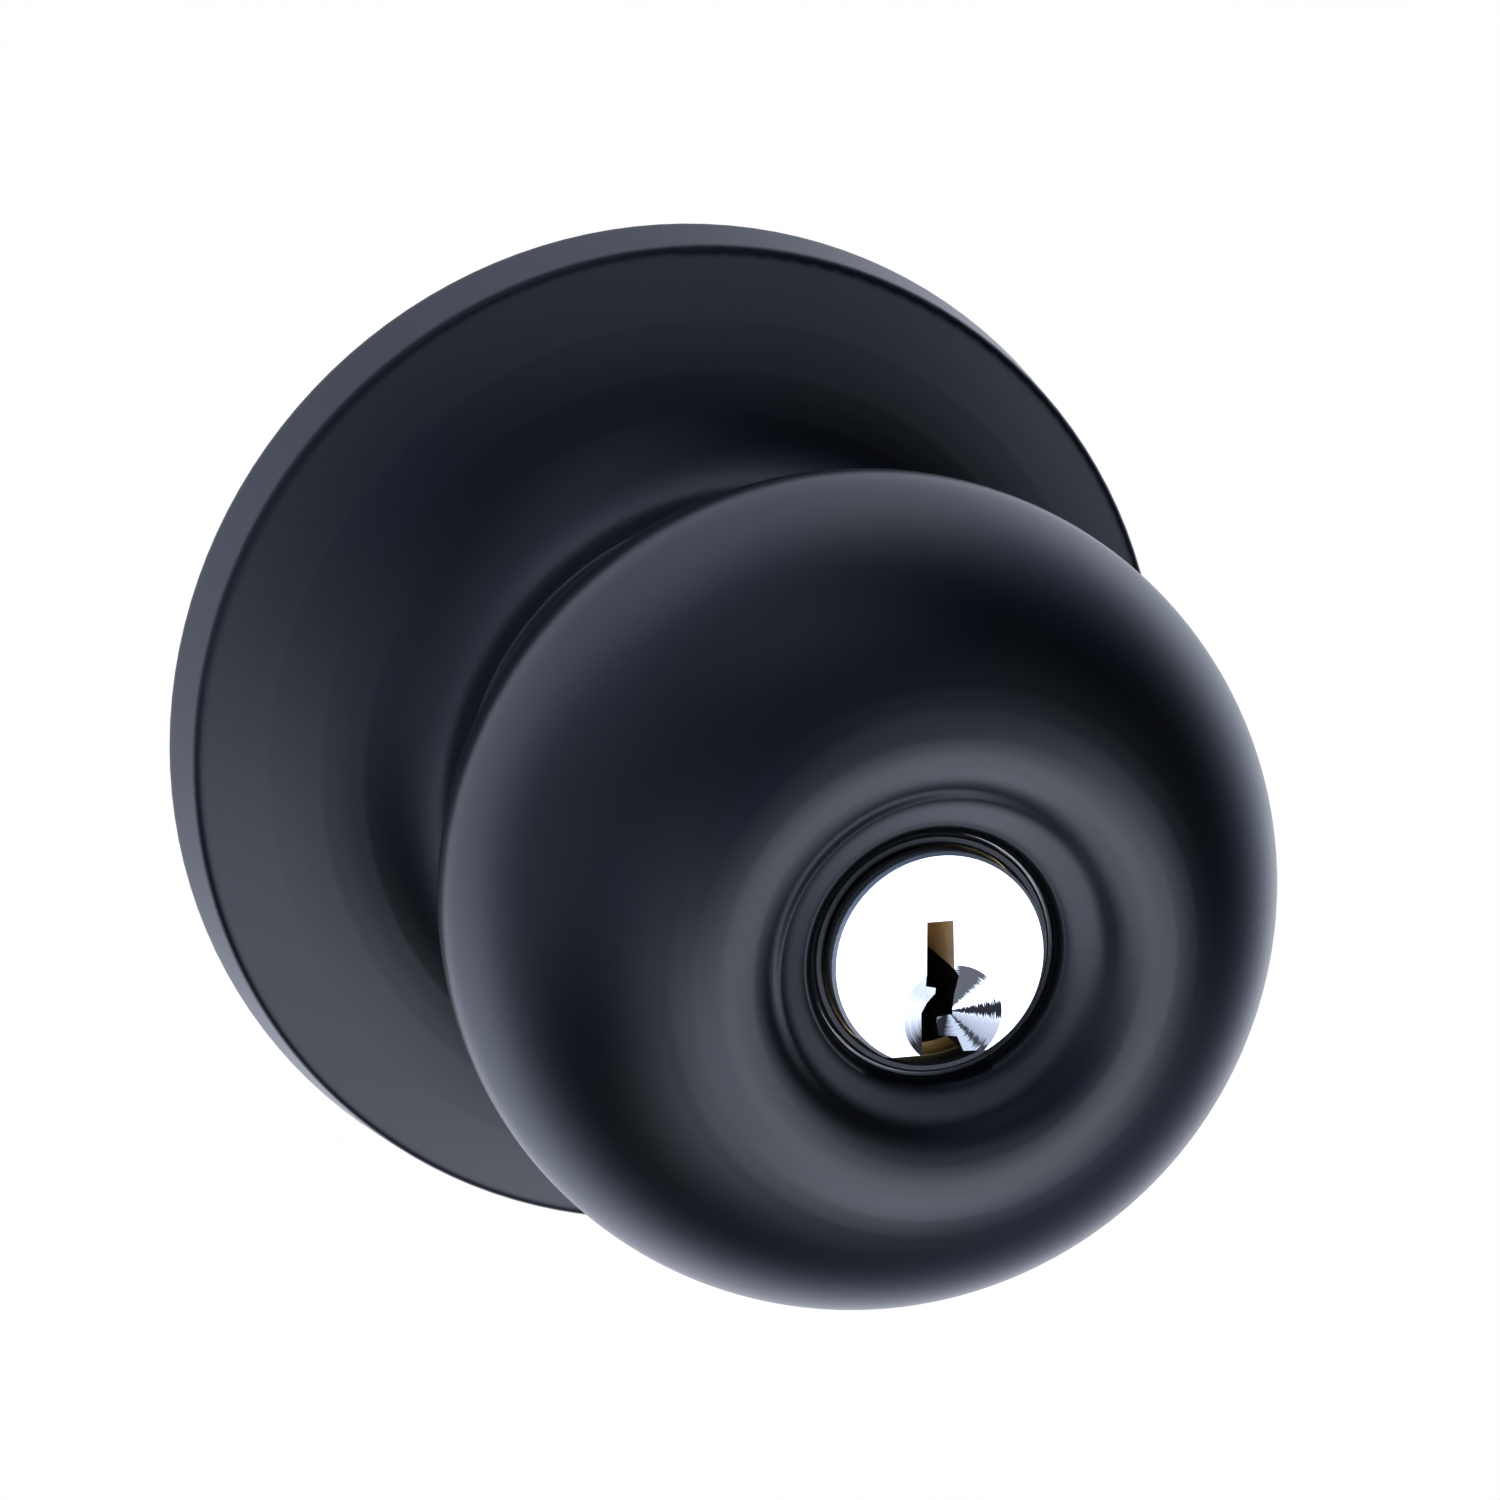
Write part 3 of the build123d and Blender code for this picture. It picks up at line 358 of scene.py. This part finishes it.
def add_world():
    """White surroundings for the camera, soft lights for the surfaces."""
    world = bpy.data.worlds.new("studio")
    bpy.context.scene.world = world
    world.use_nodes = True
    n = Nodes(world.node_tree)
    look = n.add("ShaderNodeTexCoord").outputs["Generated"]
    total = (0.0, 0.0, 0.0)
    for azimuth, elevation, colour in LIGHTS:
        cosine = n.vector("DOT_PRODUCT", look, tuple(direction(azimuth, elevation)), output="Value")
        power = n.math("EXPONENT", n.math("MULTIPLY_ADD", cosine, LIGHT_TIGHTNESS, -LIGHT_TIGHTNESS))
        total = n.vector("MULTIPLY_ADD", colour, power, total)
    lit = n.add("ShaderNodeBackground", {"Color": total}).outputs[0]
    seen = n.add("ShaderNodeBackground", {"Color": (1, 1, 1, 1)}).outputs[0]
    by_camera = n.add("ShaderNodeLightPath").outputs["Is Camera Ray"]
    mixed = n.add("ShaderNodeMixShader", {0: by_camera, 1: lit, 2: seen}).outputs[0]
    n.add("ShaderNodeOutputWorld", {"Surface": mixed})


def add_floor():
    """Plain white floor below the object. The surfaces don't mirror it."""
    low = cad_box[0][2] - FLOOR_DROP
    size = FLOOR_HALF_SIZE
    mesh = bpy.data.meshes.new("floor")
    corners = [(-size, -size, low), (size, -size, low), (size, size, low), (-size, size, low)]
    mesh.from_pydata(corners, [], [(0, 1, 2, 3)])
    floor = bpy.data.objects.new("floor", mesh)
    bpy.context.scene.collection.objects.link(floor)
    n = material_nodes("floor")
    tone = n.spread(n.noise(n.place(), 20.0), (0.3, 0.7), (0.995, 1.0))
    n.finish(n.add("ShaderNodeEmission", {"Color": (1, 1, 1, 1), "Strength": tone}).outputs[0])
    mesh.materials.append(bpy.data.materials["floor"])
    floor.visible_glossy = False
    floor.visible_diffuse = False


# ---- build ----

black_finish()
chromed_plug()
metal("plated_steel", (0.62, 0.63, 0.64, 1), (0.44, 0.45, 0.47, 1), (0.24, 0.42), 2500, 0.25)
metal("nylon", (0.82, 0.80, 0.74, 1), (0.70, 0.69, 0.62, 1), (0.42, 0.55), 3000, 0.3, metallic=0.0)
metal("spring_steel", (0.38, 0.38, 0.39, 1), (0.22, 0.22, 0.23, 1), (0.22, 0.38), 4000, 0.2)
metal("zinc_casting", (0.52, 0.52, 0.51, 1), (0.36, 0.36, 0.35, 1), (0.42, 0.6), 1800, 0.6)
metal("brass", (0.80, 0.58, 0.28, 1), (0.58, 0.40, 0.17, 1), (0.24, 0.38), 3500, 0.25)
metal(
    "black_steel", (0.012, 0.012, 0.013, 1), (0.006, 0.006, 0.007, 1), (0.30, 0.42), 4000, 0.2,
    metallic=0.6, edge=(0.08, 0.08, 0.08, 1),
)

add_world()
add_floor()
add_camera()
bpy.context.scene.view_settings.view_transform = "Standard"
